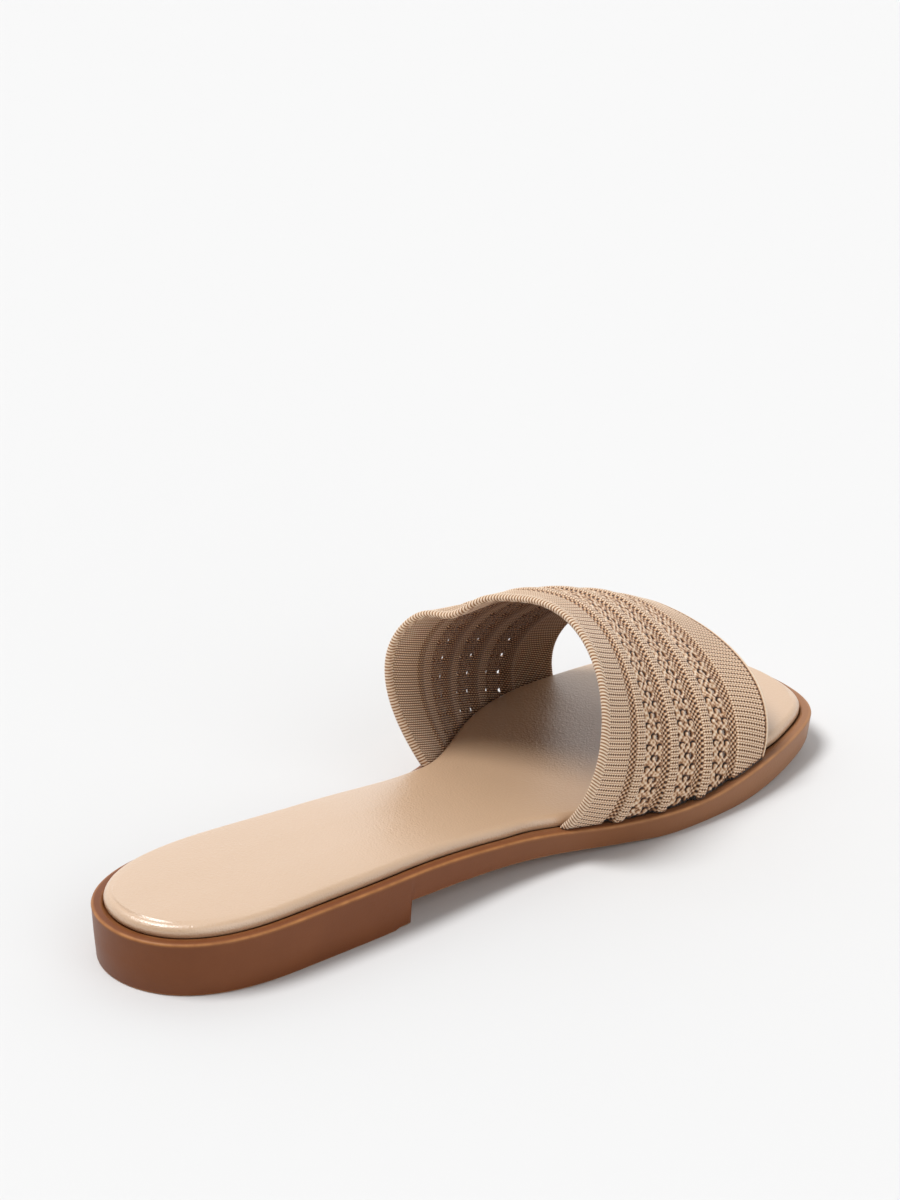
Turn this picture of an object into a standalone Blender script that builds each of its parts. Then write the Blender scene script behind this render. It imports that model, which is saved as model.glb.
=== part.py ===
"""Flat slide sandal for the right foot: a moulded rubber sole, a padded insole and one knitted band.

Metres, +Y to the toe, +X to the outer (little toe) side, +Z up.
The origin lies on the floor, in the middle of the heel's tread.
"""
import math
from collections import namedtuple

import bmesh
import bpy
import numpy as np

# Size of the sandal
LENGTH = 0.256
BALL_WIDTH = 0.0929
WAIST_WIDTH = 0.0527
HEEL_WIDTH = 0.0605
HEEL_HEIGHT = 0.0174
INSTEP_HEIGHT = 0.0724

# Sole
HEEL_BLOCK_LENGTH = 0.0855
SEAT_DEPTH = 0.0008
LEDGE_WIDTH = 0.0037
RIM_ROUND = 0.0009
TREAD_ROUND = 0.0007
WALL_UNDERCUT = 0.0011
BREAST_RAKE = 0.0004

# Insole
INSOLE_RISE = 0.0036
INSOLE_CROWN = 0.0007
INSOLE_ROLL = 0.0021
INSOLE_YIELD_LENGTH = 0.012

# Knitted band
BAND_WALL = 0.0020
BAND_INSET = 0.0022
STRIP_RAMP = 0.0006
EYELET = 0.0017
EYELET_PITCH = 0.0080
EYELET_MARGIN = 0.007
EDGE_DIP_DEPTH = 0.0044
EDGE_DIP_HALF_WIDTH = 0.0066
EDGE_DIP_REACH = 0.018
EDGE_DIP_AROUND = 0.63

# Gap that touching pieces keep
CLEARANCE = 0.0003

WIDTHS = {"heel": HEEL_WIDTH, "waist": WAIST_WIDTH, "ball": BALL_WIDTH}

# Outline of the sole, from the heel's back round the outer side to the toe and home on the inner side.
# along is a share of the length, across a share of the width that the row names.
OutlineRow = namedtuple("OutlineRow", "of along across")
OUTLINE = [
    OutlineRow("heel", 0.000, -0.02),
    OutlineRow("heel", 0.023, 0.26),
    OutlineRow("heel", 0.064, 0.40),
    OutlineRow("heel", 0.125, 0.48),
    OutlineRow("heel", 0.200, 0.50),
    OutlineRow("waist", 0.320, 0.58),
    OutlineRow("waist", 0.430, 0.56),
    OutlineRow("waist", 0.540, 0.59),
    OutlineRow("ball", 0.646, 0.402),
    OutlineRow("ball", 0.748, 0.430),
    OutlineRow("ball", 0.844, 0.407),
    OutlineRow("ball", 0.930, 0.334),
    OutlineRow("ball", 0.981, 0.243),
    OutlineRow("ball", 1.000, 0.087),
    OutlineRow("ball", 0.996, -0.112),
    OutlineRow("ball", 0.962, -0.325),
    OutlineRow("ball", 0.896, -0.461),
    OutlineRow("ball", 0.823, -0.534),
    OutlineRow("ball", 0.754, -0.570),
    OutlineRow("ball", 0.683, -0.535),
    OutlineRow("ball", 0.602, -0.417),
    OutlineRow("waist", 0.516, -0.49),
    OutlineRow("waist", 0.430, -0.44),
    OutlineRow("waist", 0.334, -0.465),
    OutlineRow("heel", 0.233, -0.464),
    OutlineRow("heel", 0.142, -0.497),
    OutlineRow("heel", 0.068, -0.44),
    OutlineRow("heel", 0.022, -0.30),
]

# Side view of the sole: height of the ledge, and of the underside forward of the heel block, as shares of
# the heel's height. Two rows at nothing make the flat spot that the forefoot stands on.
LedgeRow = namedtuple("LedgeRow", "along height")
LEDGE_PROFILE = [
    LedgeRow(0.000, 1.000),
    LedgeRow(0.160, 1.000),
    LedgeRow(0.330, 0.975),
    LedgeRow(0.490, 0.760),
    LedgeRow(0.640, 0.515),
    LedgeRow(0.735, 0.450),
    LedgeRow(0.880, 0.625),
    LedgeRow(1.000, 0.705),
]
UndersideRow = namedtuple("UndersideRow", "along height")
UNDERSIDE_PROFILE = [
    UndersideRow(0.330, 0.450),
    UndersideRow(0.490, 0.290),
    UndersideRow(0.640, 0.095),
    UndersideRow(0.715, 0.000),
    UndersideRow(0.800, 0.000),
    UndersideRow(0.880, 0.070),
    UndersideRow(1.000, 0.240),
]

# Sections of the band, from its back edge to its front edge. Each is two curves that meet at the crown.
# foot_* and crown_along are shares of the length, crown_across and shoulder_* of the ball width,
# crown_height and wall_* of the instep height. Leans are degrees out from upright, sweeps are
# forward travel for each unit of rise or of run.
BandRow = namedtuple("BandRow", "across foot_outer foot_inner crown_across crown_along crown_height "
                                "crown_tilt crown_sweep lean_outer wall_outer sweep_outer shoulder_outer "
                                "lean_inner wall_inner sweep_inner shoulder_inner")
BAND = [
    BandRow(0.0, 0.558, 0.526, 0.014, 0.597, 1.010, 0.18, 0.32,
            44, 0.43, 0.20, 0.36, 26, 0.62, -0.375, 0.46),
    BandRow(0.5, 0.715, 0.696, -0.037, 0.731, 0.835, -0.04, -0.05,
            13, 0.27, -0.03, 0.27, 18, 0.34, 0.00, 0.26),
    BandRow(1.0, 0.861, 0.814, -0.165, 0.872, 0.569, -0.13, 0.34,
            1, 0.31, 0.46, 0.21, 6, 0.29, -0.18, 0.24),
]

# Strips of the knit, from the back edge to the front edge: width, wall and lift over the band's middle.
Strip = namedtuple("Strip", "kind width wall lift")
HEM = Strip("hem", 0.0022, BAND_WALL * 1.2, 0.0002)
BACK_BORDER = Strip("border", 0.0118, BAND_WALL, 0.0001)
GROOVE = Strip("groove", 0.0032, BAND_WALL * 0.75, -0.0004)
RIB = Strip("rib", 0.0040, BAND_WALL * 1.1, 0.0003)
LACE = Strip("lace", 0.0088, BAND_WALL * 0.85, -0.0001)
FRONT_BORDER = Strip("border", 0.0130, BAND_WALL, 0.0001)
LACE_REPEATS = 3
STRIPS = ([HEM, BACK_BORDER, GROOVE] + [RIB, LACE, GROOVE] * LACE_REPEATS + [FRONT_BORDER, HEM])
BAND_WIDTH = sum(strip.width for strip in STRIPS)

# Mesh steps
SOLE_STATIONS = 56
INSOLE_STATIONS = 56
SPLINE_SAMPLES = 1200
CURVE_STEPS = 60
SECTION_STEPS = 40

HEEL_MIDDLE = HEEL_BLOCK_LENGTH / 2


def clear_scene():
    for item in list(bpy.data.objects):
        bpy.data.objects.remove(item, do_unlink=True)


def linear(hex_colour):
    channels = [int(hex_colour[i:i + 2], 16) / 255 for i in (0, 2, 4)]
    return [c / 12.92 if c <= 0.04045 else ((c + 0.055) / 1.055) ** 2.4 for c in channels] + [1.0]


def material(name, hex_colour, roughness):
    made = bpy.data.materials.new(name)
    made.use_nodes = True
    shader = made.node_tree.nodes["Principled BSDF"]
    shader.inputs["Base Color"].default_value = linear(hex_colour)
    shader.inputs["Roughness"].default_value = roughness
    shader.inputs["Metallic"].default_value = 0.0
    return made


def add_object(name, bm, finish):
    """Turns a bmesh into a named object whose faces point out."""
    bmesh.ops.recalc_face_normals(bm, faces=bm.faces)
    mesh = bpy.data.meshes.new(name)
    bm.to_mesh(mesh)
    bm.free()
    mesh.materials.append(finish)
    mesh.shade_smooth()
    mesh.set_sharp_from_angle(angle=math.radians(40))
    made = bpy.data.objects.new(name, mesh)
    bpy.context.scene.collection.objects.link(made)
    return made


def soft_profile(xs, ys):
    """A curve through the rows that never swings past them, so that a level stretch stays level."""
    xs, ys = np.array(xs, float), np.array(ys, float)
    steps, rises = np.diff(xs), np.diff(ys) / np.diff(xs)
    slopes = np.zeros(len(xs))
    for i in range(1, len(xs) - 1):
        if rises[i - 1] * rises[i] > 0:
            near, far = 2 * steps[i] + steps[i - 1], steps[i] + 2 * steps[i - 1]
            slopes[i] = (near + far) / (near / rises[i - 1] + far / rises[i])
    slopes[0], slopes[-1] = rises[0], rises[-1]

    def height(x):
        x = min(max(x, xs[0]), xs[-1])
        i = min(int(np.searchsorted(xs, x, side="right")) - 1, len(xs) - 2)
        t = (x - xs[i]) / steps[i]
        return ((1 + 2 * t) * (1 - t) ** 2 * ys[i] + t * (1 - t) ** 2 * steps[i] * slopes[i]
                + t * t * (3 - 2 * t) * ys[i + 1] + t * t * (t - 1) * steps[i] * slopes[i + 1])
    return height


def closed_spline(points):
    """Samples of a smooth closed curve through the points, with its outward direction at each sample."""
    points = np.array(points, float)
    count = len(points)
    chord = np.linalg.norm(np.roll(points, -1, axis=0) - points, axis=1)
    slope = (np.roll(points, -1, axis=0) - points) / chord[:, None]
    bend = np.zeros((count, count))
    for i in range(count):
        bend[i, i - 1] = chord[i - 1]
        bend[i, i] = 2 * (chord[i - 1] + chord[i])
        bend[i, (i + 1) % count] = chord[i]
    second = np.linalg.solve(bend, 6 * (slope - np.roll(slope, 1, axis=0)))
    start = np.concatenate([[0], np.cumsum(chord)])
    places, outward = [], []
    for s in np.linspace(0, start[-1], SPLINE_SAMPLES, endpoint=False):
        i = int(np.searchsorted(start, s, side="right")) - 1
        j, h, a = (i + 1) % count, chord[i], s - start[i]
        b = h - a
        places.append((second[i] * b ** 3 + second[j] * a ** 3) / (6 * h)
                      + (points[i] / h - second[i] * h / 6) * b + (points[j] / h - second[j] * h / 6) * a)
        run = ((second[j] * a ** 2 - second[i] * b ** 2) / (2 * h)
               + (points[j] - points[i]) / h - (second[j] - second[i]) * h / 6)
        outward.append(np.array([run[1], -run[0]]) / np.linalg.norm(run))
    return np.array(places), np.array(outward)


class Side:
    """One side of the sole's outline, from the heel's back to the tip of the toe."""

    def __init__(self, places, outward):
        order = np.argsort(places[:, 1])
        self.places, self.outward = places[order], outward[order]

    def edge(self, y, inset=0.0):
        """Place on this side at a distance along the sole, moved in from the edge by the inset."""
        x = np.interp(y, self.places[:, 1], self.places[:, 0])
        out = np.array([np.interp(y, self.places[:, 1], self.outward[:, k]) for k in (0, 1)])
        out /= np.linalg.norm(out)
        return np.array([x, y]) - out * inset


def sole_sides():
    """Outer and inner side of the outline, in the part's own frame."""
    points = [(row.across * WIDTHS[row.of], row.along * LENGTH - HEEL_MIDDLE) for row in OUTLINE]
    places, outward = closed_spline(points)
    tip, back = int(places[:, 1].argmax()), int(places[:, 1].argmin())
    ring = np.arange(len(places))
    outer = (ring - back) % len(places) <= (tip - back) % len(places)
    inner = (ring - tip) % len(places) <= (back - tip) % len(places)
    return Side(places[outer], outward[outer]), Side(places[inner], outward[inner])


OUTER, INNER = sole_sides()
HEEL_BACK, TOE_TIP = OUTER.places[0, 1], OUTER.places[-1, 1]
BREAST = HEEL_BLOCK_LENGTH - HEEL_MIDDLE
LEDGE = soft_profile(*zip(*LEDGE_PROFILE))
UNDERSIDE = soft_profile(*zip(*UNDERSIDE_PROFILE))


def ledge_height(y):
    return LEDGE((y + HEEL_MIDDLE) / LENGTH) * HEEL_HEIGHT


def underside_height(y):
    """The floor under the heel block, then the arch from the breast to the toe."""
    if y < BREAST + BREAST_RAKE / 2:
        return 0.0
    return UNDERSIDE((y + HEEL_MIDDLE) / LENGTH) * HEEL_HEIGHT


def stations(count):
    """Distances along the sole, close together at the round heel and toe."""
    middle, half = (HEEL_BACK + TOE_TIP) / 2, (TOE_TIP - HEEL_BACK) / 2
    return [middle - half * math.cos(math.pi * k / count) for k in range(count + 1)]


def seat_edge(y):
    """From the rim to the insole's edge, which gives way where the wall of the band comes up beside it."""
    first = min(min(row.foot_outer, row.foot_inner) for row in BAND) * LENGTH - HEEL_MIDDLE
    last = max(max(row.foot_outer, row.foot_inner) for row in BAND) * LENGTH - HEEL_MIDDLE
    t = min(max(1 - max(first - y, y - last) / INSOLE_YIELD_LENGTH, 0.0), 1.0)
    return LEDGE_WIDTH + (BAND_INSET + BAND_WALL + CLEARANCE - LEDGE_WIDTH) * t * t * (3 - 2 * t)


def from_rim(width):
    return lambda y: width


def from_seat(width):
    return lambda y: seat_edge(y) + width


def ring_of_edge(bm, ys, inset, height):
    """A closed ring of vertices inside the outline. Its points pair up across the sole, one for each station."""
    back, tip = HEEL_BACK + inset(HEEL_BACK), TOE_TIP - inset(TOE_TIP)

    def vertex(side, y):
        x, y_in = side.edge(y, inset(y))
        y_in = min(max(y_in, back), tip)
        return bm.verts.new((x, y_in, height(y_in)))
    outer = [vertex(OUTER, y) for y in ys]
    inner = [vertex(INNER, y) for y in ys[1:-1]]
    return outer + inner[::-1]


def bridge(bm, low, high):
    count = len(low)
    for i in range(count):
        j = (i + 1) % count
        bm.faces.new((low[i], low[j], high[j], high[i]))


def cap(bm, ring):
    """Closes a ring with strips of face across the sole, from each station to the next."""
    last = len(ring)
    for k in range(last // 2):
        corners = [ring[k], ring[k + 1]]
        if ring[last - k - 1] is not ring[k + 1]:
            corners.append(ring[last - k - 1])
        if k:
            corners.append(ring[last - k])
        bm.faces.new(corners)


def build_outsole():
    """Moulded rubber unit: a ledge round a shallow seat, an arched waist and a low full-width heel block."""
    bm = bmesh.new()
    ys = stations(SOLE_STATIONS)
    nearest = min(range(len(ys)), key=lambda k: abs(ys[k] - BREAST))
    ys[nearest:nearest + 1] = [BREAST, BREAST + BREAST_RAKE]
    levels = [
        (from_rim(WALL_UNDERCUT + TREAD_ROUND), underside_height),
        (from_rim(WALL_UNDERCUT), lambda y: underside_height(y) + TREAD_ROUND),
        (from_rim(RIM_ROUND * 0.3), lambda y: ledge_height(y) - RIM_ROUND),
        (from_rim(0.0), lambda y: ledge_height(y) - RIM_ROUND * 0.6),
        (from_rim(RIM_ROUND * 0.3), lambda y: ledge_height(y) - RIM_ROUND * 0.2),
        (from_rim(RIM_ROUND), ledge_height),
        (from_seat(-CLEARANCE), ledge_height),
        (from_seat(-CLEARANCE), lambda y: ledge_height(y) - SEAT_DEPTH),
    ]
    rings = [ring_of_edge(bm, ys, inset, height) for inset, height in levels]
    for low, high in zip(rings, rings[1:]):
        bridge(bm, low, high)
    cap(bm, rings[0])
    cap(bm, rings[-1])
    return add_object("outsole", bm, material("brown_rubber", "6d4835", 0.42))


def build_insole():
    """Padded footbed wrapped in smooth beige leatherette, with a soft rolled edge, let into the sole's seat."""
    bm = bmesh.new()
    ys = stations(INSOLE_STATIONS)

    def over_ledge(rise):
        return lambda y: ledge_height(y) + rise
    levels = [
        (from_seat(0.2 * INSOLE_ROLL), over_ledge(CLEARANCE - SEAT_DEPTH)),
        (from_seat(0.0), over_ledge(0.30 * INSOLE_RISE)),
        (from_seat(0.12 * INSOLE_ROLL), over_ledge(0.62 * INSOLE_RISE)),
        (from_seat(0.45 * INSOLE_ROLL), over_ledge(0.88 * INSOLE_RISE)),
        (from_seat(INSOLE_ROLL), over_ledge(INSOLE_RISE)),
        (from_seat(5 * INSOLE_ROLL), over_ledge(INSOLE_RISE + INSOLE_CROWN)),
    ]
    rings = [ring_of_edge(bm, ys, inset, height) for inset, height in levels]
    for low, high in zip(rings, rings[1:]):
        bridge(bm, low, high)
    cap(bm, rings[0])
    cap(bm, rings[-1])
    return add_object("insole", bm, material("beige_leatherette", "d1b399", 0.45))


def blend_rows(across):
    """The band's section at a share of its width: a smooth curve through the three rows."""
    rows = np.array(BAND, float)
    a, b, c = rows[:, 0]
    weights = ((across - b) * (across - c) / ((a - b) * (a - c)),
               (across - a) * (across - c) / ((b - a) * (b - c)),
               (across - a) * (across - b) / ((c - a) * (c - b)))
    return BandRow(*sum(weight * row for weight, row in zip(weights, rows)))


def bezier(a, b, c, d, t):
    return a * (1 - t) ** 3 + 3 * b * t * (1 - t) ** 2 + 3 * c * t * t * (1 - t) + d * t ** 3


def band_foot(side, along):
    """Middle of the band's wall where it meets the ledge, beside the insole's edge."""
    x, y = side.edge(along * LENGTH - HEEL_MIDDLE, BAND_INSET + BAND_WALL / 2)
    return np.array([x, y, ledge_height(y) + CLEARANCE])


def section_curve(across):
    """Control points of the two halves of one section: outer foot to crown, then crown to inner foot."""
    row = blend_rows(across)
    crown = np.array([row.crown_across * BALL_WIDTH, row.crown_along * LENGTH - HEEL_MIDDLE,
                      row.crown_height * INSTEP_HEIGHT])
    run = np.array([1.0, row.crown_sweep, row.crown_tilt])
    run /= np.linalg.norm(run)
    lean_outer, lean_inner = math.radians(row.lean_outer), math.radians(row.lean_inner)
    up_outer = np.array([math.sin(lean_outer), row.sweep_outer, math.cos(lean_outer)])
    up_inner = np.array([-math.sin(lean_inner), row.sweep_inner, math.cos(lean_inner)])
    foot_outer = band_foot(OUTER, row.foot_outer)
    foot_inner = band_foot(INNER, row.foot_inner)
    return ((foot_outer, foot_outer + up_outer * row.wall_outer * INSTEP_HEIGHT,
             crown + run * row.shoulder_outer * BALL_WIDTH, crown),
            (crown, crown - run * row.shoulder_inner * BALL_WIDTH,
             foot_inner + up_inner * row.wall_inner * INSTEP_HEIGHT, foot_inner))


def even_lines(grid):
    """The grid with its lines round the foot set at even widths from the back edge, as knit strips lie."""
    along = np.gradient(grid, axis=1)
    along /= np.linalg.norm(along, axis=2)[..., None]
    step, middle = np.diff(grid, axis=0), (along[1:] + along[:-1]) / 2
    square = (step ** 2).sum(axis=2) - (step * middle).sum(axis=2) ** 2
    widths = np.concatenate([np.zeros((1, grid.shape[1])), np.cumsum(np.sqrt(np.maximum(square, 0)), axis=0)])
    evened = np.empty_like(grid)
    for column in range(grid.shape[1]):
        even = np.linspace(0, widths[-1, column], SECTION_STEPS + 1)
        for axis in range(3):
            evened[:, column, axis] = np.interp(even, widths[:, column], grid[:, column, axis])
    return evened


def band_sheet():
    """Middle of the band's wall as a grid of places, evenly spaced round the foot and across the band."""
    sheet = []
    for k in range(SECTION_STEPS + 1):
        outer, inner = section_curve(k / SECTION_STEPS)
        ts = np.linspace(0, 1, CURVE_STEPS + 1)
        places = np.array([bezier(*outer, t) for t in ts] + [bezier(*inner, t) for t in ts[1:]])
        travel = np.concatenate([[0], np.cumsum(np.linalg.norm(np.diff(places, axis=0), axis=1))])
        even = np.linspace(0, travel[-1], 2 * CURVE_STEPS + 1)
        sheet.append(np.array([np.interp(even, travel, places[:, axis]) for axis in range(3)]).T)
    return even_lines(np.array(sheet))


SHEET = band_sheet()
GIRTH = float(np.linalg.norm(np.diff(SHEET[SECTION_STEPS // 2], axis=0), axis=1).sum())


def sheet_place(around, across):
    """Point of the sheet at shares round the foot and across the band, by straight blending in its grid."""
    i = min(max(across, 0.0), 1.0) * SECTION_STEPS
    j = min(max(around, 0.0), 1.0) * 2 * CURVE_STEPS
    i0, j0 = min(int(i), SECTION_STEPS - 1), min(int(j), 2 * CURVE_STEPS - 1)
    p, q = i - i0, j - j0
    return ((SHEET[i0, j0] * (1 - q) + SHEET[i0, j0 + 1] * q) * (1 - p)
            + (SHEET[i0 + 1, j0] * (1 - q) + SHEET[i0 + 1, j0 + 1] * q) * p)


def sheet_outward(around, across):
    """Direction out of the sheet, away from the foot."""
    step = 1.0 / SECTION_STEPS
    round_foot = sheet_place(around + step, across) - sheet_place(around - step, across)
    to_toe = sheet_place(around, across + step) - sheet_place(around, across - step)
    out = np.cross(to_toe, round_foot)
    return out / np.linalg.norm(out)


def edge_dip(around, across):
    """Soft crease that the back edge has near the top of its inner side."""
    aside = (around - EDGE_DIP_AROUND) * GIRTH / EDGE_DIP_HALF_WIDTH
    reach = across * BAND_WIDTH / EDGE_DIP_REACH
    return -EDGE_DIP_DEPTH * math.exp(-aside * aside) * math.exp(-reach * reach)


def strip_lines():
    """Distances across the band of its mesh lines, each with the wall and lift that the strip has there."""
    lines, eyelet_rows = [], []
    start = 0.0
    for number, strip in enumerate(STRIPS):
        first = start + (STRIP_RAMP / 2 if number > 0 else 0.0)
        last = start + strip.width - (STRIP_RAMP / 2 if number < len(STRIPS) - 1 else 0.0)
        steps = 2 if strip.kind in ("lace", "border") else 1
        for k in range(steps + 1):
            if k < steps and strip.kind == "lace":
                eyelet_rows.append(len(lines))
            lines.append((first + (last - first) * k / steps, strip.wall, strip.lift))
        start += strip.width
    return lines, eyelet_rows


def build_band():
    """One knitted band: knitted flat with its eyelets, then wrapped over the instep and given its wall."""
    lines, eyelet_rows = strip_lines()
    columns = 2 * round(GIRTH / EYELET_PITCH)
    rows = len(lines) - 1
    pitch = GIRTH / columns
    bm = bmesh.new()
    bmesh.ops.create_grid(bm, x_segments=columns, y_segments=rows, size=0.5)
    for vertex in bm.verts:
        column, line = round((vertex.co.x + 0.5) * columns), round((vertex.co.y + 0.5) * rows)
        vertex.co = (column * pitch, lines[line][0], 0.0)

    first_column = math.ceil(EYELET_MARGIN / pitch)
    cells = []
    for face in bm.faces:
        middle = face.calc_center_median()
        column = int(middle.x / pitch)
        line = int(np.searchsorted([at for at, wall, lift in lines], middle.y)) - 1
        if line in eyelet_rows and first_column <= column < columns - first_column:
            if (column + eyelet_rows.index(line)) % 2:
                cells.append(face)
    lace_cell = (LACE.width - STRIP_RAMP) / 2
    bmesh.ops.inset_individual(bm, faces=cells, thickness=(min(pitch, lace_cell) - EYELET) / 2,
                               use_even_offset=True)
    bmesh.ops.delete(bm, geom=cells, context="FACES")

    raised = bmesh.ops.extrude_face_region(bm, geom=bm.faces[:], use_keep_orig=True)["geom"]
    outside = {item for item in raised if isinstance(item, bmesh.types.BMVert)}
    places = [at for at, wall, lift in lines]
    for vertex in bm.verts:
        around, across = vertex.co.x / GIRTH, vertex.co.y / BAND_WIDTH
        wall = np.interp(vertex.co.y, places, [line[1] for line in lines])
        lift = np.interp(vertex.co.y, places, [line[2] for line in lines])
        offset = lift + (wall / 2 if vertex in outside else -wall / 2)
        place = sheet_place(around, across)
        out = sheet_outward(around, across)
        is_foot = around < 1e-6 or around > 1 - 1e-6
        if is_foot:
            out = np.array([out[0], out[1], 0.0]) / math.hypot(out[0], out[1])
            offset = min(max(offset, -BAND_WALL / 2), BAND_WALL / 2)
        place = place + out * offset
        place[2] += edge_dip(around, across)
        floor = ledge_height(place[1]) + CLEARANCE
        vertex.co = (place[0], place[1], floor if is_foot else max(place[2], floor))
    return add_object("upper_band", bm, material("beige_knit", "bc9e86", 0.85))


clear_scene()
build_outsole()
build_insole()
build_band()
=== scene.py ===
"""Flat slide sandal for the right foot, dressed: rubber sole, padded insole and one knitted band.

Metres, +Y to the toe, +X to the outer side, +Z up. The origin is on the floor under the heel's middle.
"""
import math
from collections import namedtuple

import bmesh
import bpy
import numpy as np
from mathutils import Matrix, Vector


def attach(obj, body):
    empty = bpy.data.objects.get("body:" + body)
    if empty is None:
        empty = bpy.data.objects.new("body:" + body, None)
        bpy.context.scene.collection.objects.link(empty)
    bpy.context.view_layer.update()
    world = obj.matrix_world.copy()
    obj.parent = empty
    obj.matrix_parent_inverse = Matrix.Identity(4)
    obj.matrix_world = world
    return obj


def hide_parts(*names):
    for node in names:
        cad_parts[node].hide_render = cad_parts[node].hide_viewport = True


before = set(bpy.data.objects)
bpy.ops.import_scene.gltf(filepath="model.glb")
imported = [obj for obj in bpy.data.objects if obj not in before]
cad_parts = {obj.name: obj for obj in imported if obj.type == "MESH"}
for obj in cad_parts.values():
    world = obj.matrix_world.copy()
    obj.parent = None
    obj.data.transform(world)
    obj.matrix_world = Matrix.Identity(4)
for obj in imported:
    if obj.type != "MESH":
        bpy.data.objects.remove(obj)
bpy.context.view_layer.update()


# Camera. The photograph is taken with a long lens from the heel's outer side, a little above.
# Its turn is measured from straight behind the heel towards the outer side. Right and raise move it
# sideways in its own picture, without turning it.
CAMERA_TURN = math.radians(49.88)
CAMERA_TILT = math.radians(26.52)
CAMERA_ROLL = math.radians(-0.30)
CAMERA_DISTANCE = 1.7836
CAMERA_AIM = Vector((-0.0011, 0.08525, 0.010))
CAMERA_RIGHT, CAMERA_RAISE = -0.0010, 0.06283
CAMERA_LENS = 180.0

backward = Vector((math.sin(CAMERA_TURN) * math.cos(CAMERA_TILT),
                   -math.cos(CAMERA_TURN) * math.cos(CAMERA_TILT), math.sin(CAMERA_TILT)))
rightward = Vector((math.cos(CAMERA_TURN), math.sin(CAMERA_TURN), 0.0))
upward = backward.cross(rightward)
camera_data = bpy.data.cameras.new("camera")
camera_data.lens = CAMERA_LENS
camera = bpy.data.objects.new("camera", camera_data)
bpy.context.scene.collection.objects.link(camera)
rolled_right = rightward * math.cos(CAMERA_ROLL) + upward * math.sin(CAMERA_ROLL)
rolled_up = upward * math.cos(CAMERA_ROLL) - rightward * math.sin(CAMERA_ROLL)
turned = Matrix((rolled_right, rolled_up, backward)).transposed().to_4x4()
place = CAMERA_AIM + rightward * CAMERA_RIGHT + upward * CAMERA_RAISE + backward * CAMERA_DISTANCE
camera.matrix_world = Matrix.Translation(place) @ turned
bpy.context.scene.camera = camera


# Studio. A white paper floor in a white room that is left dark on one side, a broad soft lamp almost
# overhead, a little to the heel and the inner side, and a weak one from the outer side.
# The picture is shown without a film curve, so that the paper comes out white.
ROOM_BRIGHT, ROOM_DARK = 1.35, 0.06
# The way to the dark side, and between which cosines off that way the room grows dark.
ROOM_DARK_SIDE = (0.67, -0.56, 0.49)
ROOM_DARK_FROM, ROOM_DARK_TO = -0.95, 0.80
Lamp = namedtuple("Lamp", "name towards strength spread")
LAMPS = [
    Lamp("key_lamp", (-0.22, -0.36, 1.0), 2.45, 26),
    Lamp("fill_lamp", (0.92, -0.05, 0.45), 1.02, 60),
]
FLOOR_HALF = 4.0
PAPER_COLOUR = "dfdfdf"


def linear(hex_colour):
    """An sRGB hex colour as linear red, green, blue and alpha."""
    channels = [int(hex_colour[i:i + 2], 16) / 255 for i in (0, 2, 4)]
    return tuple(c / 12.92 if c <= 0.04045 else ((c + 0.055) / 1.055) ** 2.4 for c in channels) + (1.0,)


def add_node(tree, kind, inputs=None, **settings):
    """Adds one node. An input is a value or another node's output, which is then linked."""
    made = tree.nodes.new(kind)
    for name, value in settings.items():
        setattr(made, name, value)
    for name, value in (inputs or {}).items():
        if isinstance(value, bpy.types.NodeSocket):
            tree.links.new(value, made.inputs[name])
        else:
            made.inputs[name].default_value = value
    return made


def new_material(name):
    """A new material, its node tree and its shader."""
    made = bpy.data.materials.new(name)
    made.use_nodes = True
    return made, made.node_tree, made.node_tree.nodes["Principled BSDF"]


def read_vectors(mesh, field):
    """Places or directions of the mesh's vertices, one row for each."""
    values = np.zeros(len(mesh.vertices) * 3)
    mesh.vertices.foreach_get(field, values)
    return values.reshape(-1, 3)


def store_values(mesh, name, values):
    """Keeps one number for each vertex, for the material to read by its name."""
    mesh.attributes.new(name, "FLOAT", "POINT").data.foreach_set("value", values.astype(np.float32))


def add_piece(name, bm, material):
    """Turns a bmesh into a smooth shaded object."""
    mesh = bpy.data.meshes.new(name)
    bm.to_mesh(mesh)
    bm.free()
    mesh.shade_smooth()
    mesh.materials.append(material)
    made = bpy.data.objects.new(name, mesh)
    bpy.context.scene.collection.objects.link(made)
    return made


bpy.context.scene.view_settings.view_transform = "Standard"
room = bpy.data.worlds.new("white_room")
room.use_nodes = True
room_shader = room.node_tree.nodes["Background"]
room_shader.inputs["Color"].default_value = (1.0, 1.0, 1.0, 1.0)
direction = add_node(room.node_tree, "ShaderNodeTexCoord").outputs["Generated"]
towards = add_node(room.node_tree, "ShaderNodeVectorMath", {0: direction, 1: ROOM_DARK_SIDE},
                   operation="DOT_PRODUCT")
brightness = add_node(room.node_tree, "ShaderNodeMapRange",
                      {"Value": towards.outputs["Value"], "From Min": ROOM_DARK_FROM,
                       "From Max": ROOM_DARK_TO, "To Min": ROOM_BRIGHT, "To Max": ROOM_DARK})
room.node_tree.links.new(brightness.outputs["Result"], room_shader.inputs["Strength"])
bpy.context.scene.world = room

for lamp in LAMPS:
    light = bpy.data.lights.new(lamp.name, "SUN")
    light.energy, light.angle = lamp.strength, math.radians(lamp.spread)
    hung = bpy.data.objects.new(lamp.name, light)
    hung.matrix_world = Vector(lamp.towards).to_track_quat("Z", "Y").to_matrix().to_4x4()
    bpy.context.scene.collection.objects.link(hung)

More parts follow.
